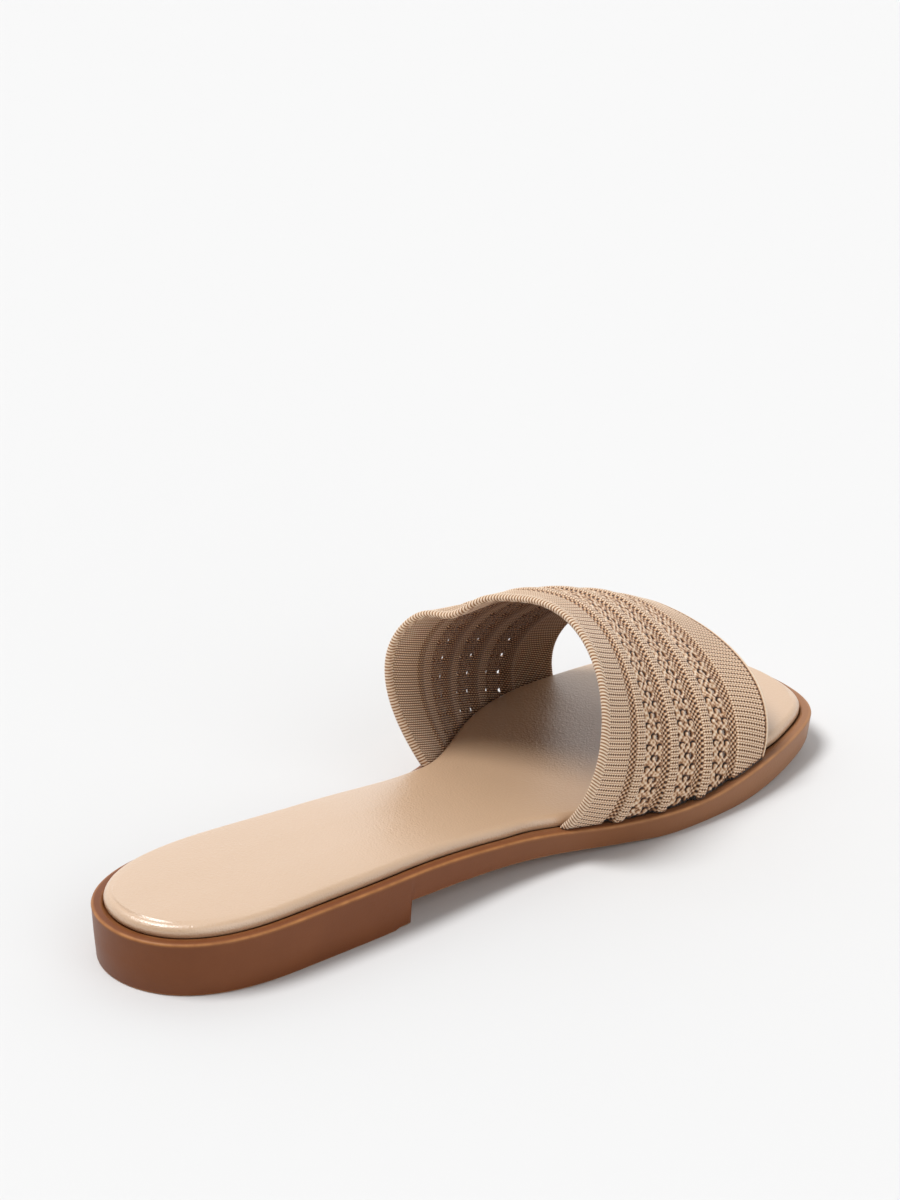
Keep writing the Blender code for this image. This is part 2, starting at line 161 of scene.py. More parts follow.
paper, _, paper_shader = new_material("white_paper")
paper_shader.inputs["Base Color"].default_value = linear(PAPER_COLOUR)
paper_shader.inputs["Roughness"].default_value = 0.95
paper_shader.inputs["Specular IOR Level"].default_value = 0.0
floor_bm = bmesh.new()
bmesh.ops.create_grid(floor_bm, x_segments=1, y_segments=1, size=FLOOR_HALF)
floor = add_piece("floor", floor_bm, paper)


# Sole unit. One piece of brown thermoplastic rubber, injection moulded: a ledge round a shallow seat,
# a thin arched waist and a low heel block. Its upper rim is lighter, partly worn and partly a painted
# highlight.
LENGTH = 0.256
BALL_WIDTH = 0.0929
WAIST_WIDTH = 0.0527
HEEL_WIDTH = 0.0605
HEEL_HEIGHT = 0.0174
HEEL_BLOCK_LENGTH = 0.0855
HEEL_MIDDLE = HEEL_BLOCK_LENGTH / 2
SEAT_DEPTH = 0.0008
LEDGE_WIDTH = 0.0037
WALL_UNDERCUT = 0.0011
TREAD_ROUND = 0.0007
RIM_ROUND = 0.0010
BREAST_RAKE = 0.0004
HEEL_NICK_LENGTH = 0.0050
HEEL_NICK_DEPTH = 0.0005
BAND_INSET = 0.0022
BAND_WALL = 0.0020
CLEARANCE = 0.0003
YIELD_LENGTH = 0.012
BAND_FOOT_FIRST, BAND_FOOT_LAST = 0.526, 0.861
STATIONS = 260
SOLE_STRIPS = 6

WIDTHS = {"heel": HEEL_WIDTH, "waist": WAIST_WIDTH, "ball": BALL_WIDTH}

# Outline of the sole, from the heel's back round the outer side to the toe and home on the inner side.
# along is a share of the length, across a share of the width that the row names.
OutlineRow = namedtuple("OutlineRow", "of along across")
OUTLINE = [
    OutlineRow("heel", 0.000, -0.02),
    OutlineRow("heel", 0.023, 0.26),
    OutlineRow("heel", 0.064, 0.40),
    OutlineRow("heel", 0.125, 0.48),
    OutlineRow("heel", 0.200, 0.50),
    OutlineRow("waist", 0.320, 0.58),
    OutlineRow("waist", 0.430, 0.56),
    OutlineRow("waist", 0.540, 0.59),
    OutlineRow("ball", 0.646, 0.402),
    OutlineRow("ball", 0.748, 0.430),
    OutlineRow("ball", 0.844, 0.407),
    OutlineRow("ball", 0.930, 0.334),
    OutlineRow("ball", 0.981, 0.243),
    OutlineRow("ball", 1.000, 0.087),
    OutlineRow("ball", 0.996, -0.112),
    OutlineRow("ball", 0.962, -0.325),
    OutlineRow("ball", 0.896, -0.461),
    OutlineRow("ball", 0.823, -0.534),
    OutlineRow("ball", 0.754, -0.570),
    OutlineRow("ball", 0.683, -0.535),
    OutlineRow("ball", 0.602, -0.417),
    OutlineRow("waist", 0.516, -0.49),
    OutlineRow("waist", 0.430, -0.44),
    OutlineRow("waist", 0.334, -0.465),
    OutlineRow("heel", 0.233, -0.464),
    OutlineRow("heel", 0.142, -0.497),
    OutlineRow("heel", 0.068, -0.44),
    OutlineRow("heel", 0.022, -0.30),
]
# Heights of the ledge and of the arch, as shares of the heel's height, at shares of the length.
LEDGE_ALONG = (0.000, 0.160, 0.330, 0.490, 0.640, 0.735, 0.880, 1.000)
LEDGE_SHARE = (1.000, 1.000, 0.975, 0.760, 0.515, 0.450, 0.625, 0.705)
UNDERSIDE_ALONG = (0.330, 0.490, 0.640, 0.715, 0.800, 0.880, 1.000)
UNDERSIDE_SHARE = (0.450, 0.290, 0.095, 0.000, 0.000, 0.070, 0.240)


def soft_profile(xs, ys):
    """A curve through the rows that never swings past them, so that a level stretch stays level."""
    xs, ys = np.array(xs, float), np.array(ys, float)
    steps, rises = np.diff(xs), np.diff(ys) / np.diff(xs)
    slopes = np.zeros(len(xs))
    for i in range(1, len(xs) - 1):
        if rises[i - 1] * rises[i] > 0:
            near, far = 2 * steps[i] + steps[i - 1], steps[i] + 2 * steps[i - 1]
            slopes[i] = (near + far) / (near / rises[i - 1] + far / rises[i])
    slopes[0], slopes[-1] = rises[0], rises[-1]

    def height(x):
        x = np.clip(x, xs[0], xs[-1])
        i = np.clip(np.searchsorted(xs, x, side="right") - 1, 0, len(xs) - 2)
        t = (x - xs[i]) / steps[i]
        return ((1 + 2 * t) * (1 - t) ** 2 * ys[i] + t * (1 - t) ** 2 * steps[i] * slopes[i]
                + t * t * (3 - 2 * t) * ys[i + 1] + t * t * (t - 1) * steps[i] * slopes[i + 1])
    return height


def closed_spline(points, samples=2400):
    """Samples of a smooth closed curve through the points, with its outward direction at each sample."""
    points = np.array(points, float)
    count = len(points)
    chord = np.linalg.norm(np.roll(points, -1, axis=0) - points, axis=1)
    slope = (np.roll(points, -1, axis=0) - points) / chord[:, None]
    bend = np.zeros((count, count))
    for i in range(count):
        bend[i, i - 1] = chord[i - 1]
        bend[i, i] = 2 * (chord[i - 1] + chord[i])
        bend[i, (i + 1) % count] = chord[i]
    second = np.linalg.solve(bend, 6 * (slope - np.roll(slope, 1, axis=0)))
    start = np.concatenate([[0], np.cumsum(chord)])
    s = np.linspace(0, start[-1], samples, endpoint=False)
    i = np.searchsorted(start, s, side="right") - 1
    j, h, a = (i + 1) % count, chord[i][:, None], (s - start[i])[:, None]
    b = h - a
    places = ((second[i] * b ** 3 + second[j] * a ** 3) / (6 * h)
              + (points[i] / h - second[i] * h / 6) * b + (points[j] / h - second[j] * h / 6) * a)
    run = ((second[j] * a ** 2 - second[i] * b ** 2) / (2 * h)
           + (points[j] - points[i]) / h - (second[j] - second[i]) * h / 6)
    outward = np.stack([run[:, 1], -run[:, 0]], axis=1) / np.linalg.norm(run, axis=1)[:, None]
    return places, outward


outline_places, outline_outward = closed_spline(
    [(row.across * WIDTHS[row.of], row.along * LENGTH - HEEL_MIDDLE) for row in OUTLINE])
heel_back, toe_tip = outline_places[:, 1].min(), outline_places[:, 1].max()


def one_side(first, last):
    """Samples of the outline from one of its ends to the other, in order along the sole."""
    count = len(outline_places)
    picked = (np.arange(count) - first) % count <= (last - first) % count
    order = np.argsort(outline_places[picked][:, 1])
    return outline_places[picked][order], outline_outward[picked][order]


tip, back = int(outline_places[:, 1].argmax()), int(outline_places[:, 1].argmin())
SIDES = {"outer": one_side(back, tip), "inner": one_side(tip, back)}


def side_edge(side, y, inset):
    """Place on one side of the sole, moved in from the edge."""
    places, outward = SIDES[side]
    out = np.array([np.interp(y, places[:, 1], outward[:, k]) for k in (0, 1)])
    out = out / np.linalg.norm(out, axis=0)
    return np.interp(y, places[:, 1], places[:, 0]) - out[0] * inset, y - out[1] * inset


ledge_share = soft_profile(LEDGE_ALONG, LEDGE_SHARE)
underside_share = soft_profile(UNDERSIDE_ALONG, UNDERSIDE_SHARE)
breast = HEEL_BLOCK_LENGTH - HEEL_MIDDLE


def ledge_height(y):
    return ledge_share((y + HEEL_MIDDLE) / LENGTH) * HEEL_HEIGHT


def underside_height(y):
    """The arch from the heel's breast to the toe, and the heel's tread with the nick before its breast."""
    arch = underside_share((y + HEEL_MIDDLE) / LENGTH) * HEEL_HEIGHT
    nick = HEEL_NICK_DEPTH * np.clip((y - breast + HEEL_NICK_LENGTH) / HEEL_NICK_DEPTH, 0.0, 1.0)
    return np.where(y < breast + BREAST_RAKE / 2, nick, arch)


def seat_edge(y):
    """From the rim to the insole's edge, which gives way where the wall of the band comes up beside it."""
    first, last = (share * LENGTH - HEEL_MIDDLE for share in (BAND_FOOT_FIRST, BAND_FOOT_LAST))
    t = np.clip(1 - np.maximum(first - y, y - last) / YIELD_LENGTH, 0.0, 1.0)
    return LEDGE_WIDTH + (BAND_INSET + BAND_WALL + CLEARANCE - LEDGE_WIDTH) * t * t * (3 - 2 * t)


def sole_stations():
    middle, half = (heel_back + toe_tip) / 2, (toe_tip - heel_back) / 2
    ys = middle - half * np.cos(np.linspace(0, math.pi, STATIONS + 1))
    nearest = int(np.abs(ys - breast).argmin())
    return np.concatenate([ys[:nearest], [breast, breast + BREAST_RAKE], ys[nearest + 1:]])


def ring_places(ys, inset, height):
    """The ring of one level: out along the outer side from heel to toe, home along the inner side."""
    back_end, tip_end = heel_back + inset(heel_back), toe_tip - inset(toe_tip)
    halves = []
    for side, along in (("outer", ys), ("inner", ys[-2:0:-1])):
        x, y = side_edge(side, along, inset(along))
        y = np.clip(y, back_end, tip_end)
        halves.append(np.stack([x, y, height(y)], axis=1))
    return np.concatenate(halves)


def build_rings(levels, ys, strips):
    """A closed form of stacked rings, with strips of face across its first and its last one.

    Gives the bmesh, and the vertices inside its two caps.
    """
    bm = bmesh.new()
    count = 2 * (len(ys) - 1)
    rings, below = [], []
    for inset, height in levels:
        ring = bmesh.ops.create_circle(bm, segments=count, radius=1.0, cap_ends=False)["verts"]
        for vertex, spot in zip(ring, ring_places(ys, inset, height)):
            vertex.co = spot
        edges = list({edge for vertex in ring for edge in vertex.link_edges})
        if below:
            bmesh.ops.bridge_loops(bm, edges=below + edges)
        rings.append(ring)
        below = edges
    across = []
    for cap in (rings[0], rings[-1]):
        across += [bm.edges.new((cap[k], cap[count - k])) for k in range(1, len(ys) - 1)]
        for k in range(len(ys) - 1):
            corners = [cap[k], cap[k + 1]]
            if k < len(ys) - 2:
                corners.append(cap[count - k - 1])
            if k:
                corners.append(cap[count - k])
            bm.faces.new(corners)
    split = bmesh.ops.subdivide_edges(bm, edges=across, cuts=strips - 1, use_grid_fill=True)
    bmesh.ops.recalc_face_normals(bm, faces=bm.faces)
    return bm, [item for item in split["geom_inner"] if isinstance(item, bmesh.types.BMVert)]


def from_rim(width):
    """An inset that is the same all along the sole."""
    return lambda y: width + 0 * y


def from_seat(width):
    """An inset measured from the seat's edge."""
    return lambda y: seat_edge(y) + width


def above(base, rise):
    """A height profile raised by a fixed amount."""
    return lambda y: base(y) + rise


def wall_middle(y):
    return (underside_height(y) + ledge_height(y)) / 2


RUBBER_TONES = ("6e3c1e", "804a28")
# The edges' lighter tone is partly wear and partly a painted highlight.
WEAR_AND_HIGHLIGHT_TONE, WEAR_AND_HIGHLIGHT_GAIN = "c08450", 1.35
# A painted sheen, which lightens the rubber from the arch to the toe: places along the sole, and its most.
PAINTED_SHEEN_TONE, PAINTED_SHEEN_FROM, PAINTED_SHEEN_TO, PAINTED_SHEEN_MOST = "b68a66", 0.06, 0.19, 0.45


def moulded_rubber():
    """Rubber from a satin mould: dull brown, faintly mottled, lighter on its edges from wear and a painted
    highlight, and at the toe from a painted sheen.
    """
    made, tree, shader = new_material("brown_moulded_rubber")
    place = add_node(tree, "ShaderNodeTexCoord").outputs["Object"]
    mottle = add_node(tree, "ShaderNodeTexNoise", {"Vector": place, "Scale": 60.0, "Detail": 5.0})
    body = add_node(tree, "ShaderNodeMix", {"Factor": mottle.outputs["Fac"], "A": linear(RUBBER_TONES[0]),
                                            "B": linear(RUBBER_TONES[1])}, data_type="RGBA")
    # Edges lightened partly by wear, partly by a painted highlight.
    wear_and_highlight = add_node(tree, "ShaderNodeAttribute", attribute_name="wear_and_highlight").outputs["Fac"]
    broken = add_node(tree, "ShaderNodeTexNoise", {"Vector": place, "Scale": 220.0, "Detail": 3.0})
    wear_and_highlight_share = add_node(tree, "ShaderNodeMath", {0: wear_and_highlight, 1: broken.outputs["Fac"]}, operation="MULTIPLY")
    wear_and_highlight_share = add_node(tree, "ShaderNodeMath", {0: wear_and_highlight_share.outputs[0], 1: WEAR_AND_HIGHLIGHT_GAIN}, operation="MULTIPLY",
                    use_clamp=True)
    colour = add_node(tree, "ShaderNodeMix", {"Factor": wear_and_highlight_share.outputs[0], "A": body.outputs["Result"],
                                              "B": linear(WEAR_AND_HIGHLIGHT_TONE)}, data_type="RGBA")
    # Painted sheen: the rubber is toned lighter from the arch to the toe.
    along = add_node(tree, "ShaderNodeSeparateXYZ", {"Vector": place}).outputs["Y"]
    painted_sheen = add_node(tree, "ShaderNodeMapRange", {"Value": along, "From Min": PAINTED_SHEEN_FROM,
                                                  "From Max": PAINTED_SHEEN_TO, "To Max": PAINTED_SHEEN_MOST})
    colour = add_node(tree, "ShaderNodeMix", {"Factor": painted_sheen.outputs["Result"],
                                              "A": colour.outputs["Result"],
                                              "B": linear(PAINTED_SHEEN_TONE)}, data_type="RGBA")
    grain = add_node(tree, "ShaderNodeTexNoise", {"Vector": place, "Scale": 1400.0, "Detail": 4.0})
    bump = add_node(tree, "ShaderNodeBump", {"Height": grain.outputs["Fac"], "Strength": 0.25,
                                             "Distance": 0.0002})
    tree.links.new(colour.outputs["Result"], shader.inputs["Base Color"])
    tree.links.new(bump.outputs["Normal"], shader.inputs["Normal"])
    shader.inputs["Roughness"].default_value = 0.42
    shader.inputs["Specular IOR Level"].default_value = 0.24
    return made


# Bands of the wall lightened by wear and a painted highlight: round the rim, and round the tread. Level
# ledge is left out.
RIM_HIGHLIGHT_BELOW, RIM_HIGHLIGHT_WIDTH = 0.30 * RIM_ROUND, 0.38 * RIM_ROUND
TREAD_HIGHLIGHT_ABOVE, TREAD_HIGHLIGHT_WIDTH, TREAD_HIGHLIGHT = 0.3 * TREAD_ROUND, 0.5 * TREAD_ROUND, 0.9
LEVEL = 0.97


def wear_and_highlight_edges(mesh):
    """How much each vertex of the sole is lightened by wear and a painted highlight, from 0 to 1."""
    spots = read_vectors(mesh, "co")
    below_ledge = ledge_height(spots[:, 1]) - spots[:, 2]
    above_tread = spots[:, 2] - underside_height(spots[:, 1])
    on_ledge = read_vectors(mesh, "normal")[:, 2] > LEVEL
    at_rim = np.exp(-((below_ledge - RIM_HIGHLIGHT_BELOW) / RIM_HIGHLIGHT_WIDTH) ** 2) * ~on_ledge
    at_tread = np.abs(above_tread - TREAD_HIGHLIGHT_ABOVE) < TREAD_HIGHLIGHT_WIDTH
    return np.clip(at_rim + TREAD_HIGHLIGHT * at_tread, 0.0, 1.0)


def build_sole():
    """Levels from the tread up the wall, over the rim, in across the ledge and down to the seat."""
    levels = [
        (from_rim(WALL_UNDERCUT + TREAD_ROUND), underside_height),
        (from_rim(WALL_UNDERCUT + 0.3 * TREAD_ROUND), above(underside_height, 0.3 * TREAD_ROUND)),
        (from_rim(WALL_UNDERCUT), above(underside_height, TREAD_ROUND)),
        (from_rim(0.45 * WALL_UNDERCUT), wall_middle),
        (from_rim(0.12 * RIM_ROUND), above(ledge_height, -1.25 * RIM_ROUND)),
        (from_rim(0.0), above(ledge_height, -0.75 * RIM_ROUND)),
        (from_rim(0.14 * RIM_ROUND), above(ledge_height, -0.30 * RIM_ROUND)),
        (from_rim(0.45 * RIM_ROUND), above(ledge_height, -0.06 * RIM_ROUND)),
        (from_rim(RIM_ROUND), ledge_height),
        (from_rim(0.6 * LEDGE_WIDTH), ledge_height),
        (from_seat(-CLEARANCE), ledge_height),
        (from_seat(-CLEARANCE), above(ledge_height, -SEAT_DEPTH)),
    ]
    bm, _ = build_rings(levels, sole_stations(), SOLE_STRIPS)
    made = add_piece("sole_unit", bm, moulded_rubber())
    store_values(made.data, "wear_and_highlight", wear_and_highlight_edges(made.data))
    return made


sole = build_sole()
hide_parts("outsole")
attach(sole, "root")


# Insole. A foam footbed wrapped in smooth beige leatherette, its edge rolled down and tucked under, then
# glued into the sole's seat. The coating has a fine leather grain.
INSOLE_RISE = 0.0037
INSOLE_CROWN = 0.0007
INSOLE_ROLL = 0.0023
ROLL_STEPS = 9
INSOLE_STRIPS = 44
# Share of the rise where the roll begins, and how fast the crown swells from the edges.
ROLL_BEGINS = 0.34
CROWN_SWELL, CROWN_EASE = 4.5, 0.8
LEATHERETTE_TONES = ("caa886", "d2b090")


def leatherette():
    """Polyurethane-coated leatherette: beige, half matt, with an embossed fine grain."""
    made, tree, shader = new_material("beige_leatherette")
    place = add_node(tree, "ShaderNodeTexCoord").outputs["Object"]
    cloud = add_node(tree, "ShaderNodeTexNoise", {"Vector": place, "Scale": 22.0, "Detail": 4.0})
    colour = add_node(tree, "ShaderNodeMix", {"Factor": cloud.outputs["Fac"],
                                              "A": linear(LEATHERETTE_TONES[0]),
                                              "B": linear(LEATHERETTE_TONES[1])}, data_type="RGBA")
    cells = add_node(tree, "ShaderNodeTexVoronoi", {"Vector": place, "Scale": 1700.0},
                     feature="SMOOTH_F1")
    creases = add_node(tree, "ShaderNodeTexNoise", {"Vector": place, "Scale": 800.0, "Detail": 6.0,
                                                    "Distortion": 0.6})
    grain = add_node(tree, "ShaderNodeMath", {0: cells.outputs["Distance"], 1: creases.outputs["Fac"]},
                     operation="ADD")
    bump = add_node(tree, "ShaderNodeBump", {"Height": grain.outputs[0], "Strength": 0.45,
                                             "Distance": 0.00018})
    gloss = add_node(tree, "ShaderNodeMapRange", {"Value": cloud.outputs["Fac"], "To Min": 0.40,
                                                  "To Max": 0.50})
    tree.links.new(colour.outputs["Result"], shader.inputs["Base Color"])
    tree.links.new(gloss.outputs["Result"], shader.inputs["Roughness"])
    shader.inputs["Coat Weight"].default_value = 1.0
    shader.inputs["Coat IOR"].default_value = 1.9
    shader.inputs["Coat Roughness"].default_value = 0.36
    tree.links.new(bump.outputs["Normal"], shader.inputs["Normal"])
    tree.links.new(bump.outputs["Normal"], shader.inputs["Coat Normal"])
    return made


def build_insole():
    """Two levels tuck the edge into the seat, a quarter turn rolls it over, and the top is crowned."""
    levels = [(from_seat(0.35 * INSOLE_ROLL), above(ledge_height, CLEARANCE - SEAT_DEPTH)),
              (from_seat(0.06 * INSOLE_ROLL), above(ledge_height, 0.08 * INSOLE_RISE))]
    for k in range(ROLL_STEPS + 1):
        turn = math.pi / 2 * k / ROLL_STEPS
        inset = INSOLE_ROLL * (1 - math.cos(turn))
        rise = INSOLE_RISE * (ROLL_BEGINS + (1 - ROLL_BEGINS) * math.sin(turn))
        levels.append((from_seat(inset), above(ledge_height, rise)))
    bm, inside_caps = build_rings(levels, sole_stations(), INSOLE_STRIPS)
    for vertex in inside_caps:
        y = vertex.co.y
        if vertex.co.z < ledge_height(y) + 0.5 * INSOLE_RISE:
            continue
        outer, inner = (side_edge(side, y, seat_edge(y) + INSOLE_ROLL)[0] for side in ("outer", "inner"))
        share = min(max((vertex.co.x - inner) / max(outer - inner, 1e-6), 0.0), 1.0)
        crown = INSOLE_CROWN * min(1.0, CROWN_SWELL * share * (1 - share)) ** CROWN_EASE
        vertex.co.z = float(ledge_height(y)) + INSOLE_RISE + crown
    return add_piece("padded_insole", bm, leatherette())


insole = build_insole()
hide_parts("insole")
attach(insole, "root")


# Band. One piece of thick cotton-look knit, knitted flat in strips and then lasted: hems, plain ribbed
# borders, raised ribs, sunk dotted grooves, and three strips of openwork lace between them.
INSTEP_HEIGHT = 0.0724
EDGE_DIP_DEPTH = 0.0044
EDGE_DIP_HALF_WIDTH = 0.0066
EDGE_DIP_REACH = 0.018
EDGE_DIP_AROUND = 0.63
MILLIMETRE = 0.001

# Sections of the band, from its back edge to its front edge. Each is two curves that meet at the crown.
# foot_* and crown_along are shares of the length, crown_across and shoulder_* of the ball width,
# crown_height and wall_* of the instep height. Leans are degrees out from upright, sweeps are
# forward travel for each unit of rise or of run.
BandRow = namedtuple("BandRow", "across foot_outer foot_inner crown_across crown_along crown_height "
                                "crown_tilt crown_sweep lean_outer wall_outer sweep_outer shoulder_outer "
                                "lean_inner wall_inner sweep_inner shoulder_inner")
BAND = [
    BandRow(0.0, 0.558, 0.526, 0.014, 0.597, 1.010, 0.18, 0.32,
            44, 0.43, 0.20, 0.36, 26, 0.62, -0.375, 0.46),
    BandRow(0.5, 0.715, 0.696, -0.037, 0.731, 0.835, -0.04, -0.05,
            13, 0.27, -0.03, 0.27, 18, 0.34, 0.00, 0.26),
    BandRow(1.0, 0.861, 0.814, -0.165, 0.872, 0.569, -0.13, 0.34,
            1, 0.31, 0.46, 0.21, 6, 0.29, -0.18, 0.24),
]
# Strips from the back edge to the front edge: width, wall, lift over the band's middle, and mesh columns.
Strip = namedtuple("Strip", "kind width wall lift columns")
HEM = Strip("hem", 0.0022, BAND_WALL * 1.15, 0.0001, 9)
BACK_BORDER = Strip("border", 0.0118, BAND_WALL, 0.0001, 38)
GROOVE = Strip("groove", 0.0032, BAND_WALL * 0.75, -0.0004, 13)
RIB = Strip("rib", 0.0040, BAND_WALL * 1.1, 0.0003, 14)
LACE = Strip("lace", 0.0088, BAND_WALL * 0.85, -0.0001, 38)
FRONT_BORDER = Strip("border", 0.0130, BAND_WALL, 0.0001, 44)
PANELS = {
    "band_back": [HEM, BACK_BORDER, GROOVE],
    "band_lace_back": [RIB, LACE, GROOVE],
    "band_lace_middle": [RIB, LACE, GROOVE],
    "band_lace_front": [RIB, LACE, GROOVE],
    "band_front": [FRONT_BORDER, HEM._replace(kind="front_hem")],
}
BAND_WIDTH = sum(strip.width for panel in PANELS.values() for strip in panel)
CURVE_STEPS, SECTION_STEPS = 300, 320
# Rows of stitches run from heel to toe. This is their distance round the foot, with the mesh steps in each
# and the rows after which the lace repeats.
ROW = 0.0008
STEPS_A_ROW = 3
LACE_PERIOD = 8 * ROW
SLANT, SLANT_BEND = -0.14, 31.0


def blend_rows(across):
    """The band's section at a share of its width: a smooth curve through the three rows."""
    rows = np.array(BAND, float)
    a, b, c = rows[:, 0]
    weights = ((across - b) * (across - c) / ((a - b) * (a - c)),
               (across - a) * (across - c) / ((b - a) * (b - c)),
               (across - a) * (across - b) / ((c - a) * (c - b)))
    return BandRow(*sum(weight * row for weight, row in zip(weights, rows)))


def band_foot(side, along):
    x, y = side_edge(side, along * LENGTH - HEEL_MIDDLE, BAND_INSET + BAND_WALL / 2)
    return np.array([x, y, float(ledge_height(y)) + CLEARANCE])


def section_halves(across):
    """The two curves of one section: from the outer foot to the crown, and on to the inner foot."""
    row = blend_rows(across)
    crown = np.array([row.crown_across * BALL_WIDTH, row.crown_along * LENGTH - HEEL_MIDDLE,
                      row.crown_height * INSTEP_HEIGHT])
    run = np.array([1.0, row.crown_sweep, row.crown_tilt])
    run /= np.linalg.norm(run)
    lean_outer, lean_inner = math.radians(row.lean_outer), math.radians(row.lean_inner)
    up_outer = np.array([math.sin(lean_outer), row.sweep_outer, math.cos(lean_outer)])
    up_inner = np.array([-math.sin(lean_inner), row.sweep_inner, math.cos(lean_inner)])
    foot_outer, foot_inner = band_foot("outer", row.foot_outer), band_foot("inner", row.foot_inner)
    halves = ((foot_outer, foot_outer + up_outer * row.wall_outer * INSTEP_HEIGHT,
               crown + run * row.shoulder_outer * BALL_WIDTH, crown),
              (crown, crown - run * row.shoulder_inner * BALL_WIDTH,
               foot_inner + up_inner * row.wall_inner * INSTEP_HEIGHT, foot_inner))
    t = np.linspace(0, 1, CURVE_STEPS + 1)[:, None]
    return [a * (1 - t) ** 3 + 3 * b * t * (1 - t) ** 2 + 3 * c * t * t * (1 - t) + d * t ** 3
            for a, b, c, d in halves]


def evenly(places):
    """The same curve with its places evenly spaced."""
    travel = np.concatenate([[0], np.cumsum(np.linalg.norm(np.diff(places, axis=0), axis=1))])
    even = np.linspace(0, travel[-1], len(places))
    return np.stack([np.interp(even, travel, places[:, axis]) for axis in range(3)], axis=1)


# The sheet is the middle of the band's wall. Distances on it are measured round the foot from the crown's
# line, negative on the outer side, and across the band from its back edge.
shares = np.linspace(0, 1, SECTION_STEPS + 1)
sections = [[evenly(half) for half in section_halves(share)] for share in shares]
sheet = np.array([np.concatenate([outer, inner[1:]]) for outer, inner in sections])


def even_lines(grid):
    """The grid with its lines round the foot set at even widths from the back edge, as knit strips lie."""
    along = np.gradient(grid, axis=1)
    along /= np.linalg.norm(along, axis=2)[..., None]
    step, middle = np.diff(grid, axis=0), (along[1:] + along[:-1]) / 2
    square = (step ** 2).sum(axis=2) - (step * middle).sum(axis=2) ** 2
    widths = np.cumsum(np.sqrt(np.maximum(square, 0)), axis=0)
    widths = np.concatenate([np.zeros((1, grid.shape[1])), widths])
    evened = np.empty_like(grid)
    for column in range(grid.shape[1]):
        even = widths[-1, column] * shares
        for axis in range(3):
            evened[:, column, axis] = np.interp(even, widths[:, column], grid[:, column, axis])
    return evened


sheet = even_lines(sheet)
sheet_out = np.cross(np.gradient(sheet, axis=0), np.gradient(sheet, axis=1))
sheet_out /= np.linalg.norm(sheet_out, axis=2)[..., None]
travel_rounds = np.linalg.norm(np.diff(sheet, axis=1), axis=2)
outer_reach = travel_rounds[:, :CURVE_STEPS].sum(axis=1)
inner_reach = travel_rounds[:, CURVE_STEPS:].sum(axis=1)
GIRTH = float((outer_reach + inner_reach)[SECTION_STEPS // 2])


def reach(side, b):
    """Distance from the crown's line to the foot on one side, at a distance across the band."""
    return np.interp(b / BAND_WIDTH, shares, outer_reach if side == "outer" else inner_reach)


def on_sheet(grid, a, b):
    """Value of a grid over the sheet, at distances round the foot and across the band."""
    i = np.clip(b / BAND_WIDTH, 0, 1) * SECTION_STEPS
    j = (1 + np.where(a < 0, a / reach("outer", b), a / reach("inner", b))) * CURVE_STEPS
    j = np.clip(j, 0, 2 * CURVE_STEPS)
    i0 = np.minimum(i.astype(int), SECTION_STEPS - 1)
    j0 = np.minimum(j.astype(int), 2 * CURVE_STEPS - 1)
    p, q = (i - i0)[:, None], (j - j0)[:, None]
    return ((grid[i0, j0] * (1 - q) + grid[i0, j0 + 1] * q) * (1 - p)
            + (grid[i0 + 1, j0] * (1 - q) + grid[i0 + 1, j0 + 1] * q) * p)


def slant(b):
    """How far the knit's rows have climbed from the crown's line, at a distance across the band."""
    return SLANT * b + SLANT_BEND * b ** 3


# Relief of the knit, from the stitches. Each function takes places in the knit's own pattern:
# a runs round the foot to the inner side, b across the strip. It gives how far the yarn stands off the
# strip's plain face, and its tone, from 0 on a bright crest of yarn to 1 deep between the yarns.
# A Mark is a kind of stitch at its full strength: how far it stands up, and what it adds to the tone.
# The tone is painted light and shade: a painted highlight on the crests, painted shade between the yarns.
Mark = namedtuple("Mark", "height tone")
YARN_TONE = 0.26
FURROW, CREST = Mark(-0.00028, 0.98), Mark(0.00010, -0.40)
FURROW_WIDTH, FAINT_WIDTH, CREST_WIDTH = 0.00026, 0.00020, 0.00022
FAINT_SHARE, DOT_SHARPNESS = 0.46, 1.3
# What is left of a furrow halfway between two of its dots.
UNDOTTED = Mark(0.40, 0.26)
# The groove is toned darker as painted shade, its dots darker still, its knots lit by a painted highlight.
GROOVE_TONE, GROOVE_DOT_SHARPNESS = YARN_TONE + 0.14, 0.8
GROOVE_KNOT, GROOVE_DOT = Mark(0.00018, -YARN_TONE), Mark(-0.00036, 0.98 - YARN_TONE)
# Lace tones: a painted highlight on the loops and cups, painted shade in the crescents, cuts and pit; the
# plain lace is toned a little darker.
LACE_TONE = YARN_TONE + 0.04
LACE_LOOP, LOOP_SLANT = Mark(0.00010, -0.20), 0.25
CUP, CRESCENT, FORK = Mark(0.00030, -0.10), Mark(-0.00050, 1.06), Mark(-0.00020, 0.42)
PIT, HOLE = Mark(-0.00035, 0.7), Mark(-0.00080, 1.10)
# Stitches drawn together where the lace ends, toned darker as painted shade.
GATHER, GATHER_WIDTH, GATHER_SLANT = Mark(-0.00018, 0.45), 0.0008, 0.45
STITCH_SHARPNESS = 1.4
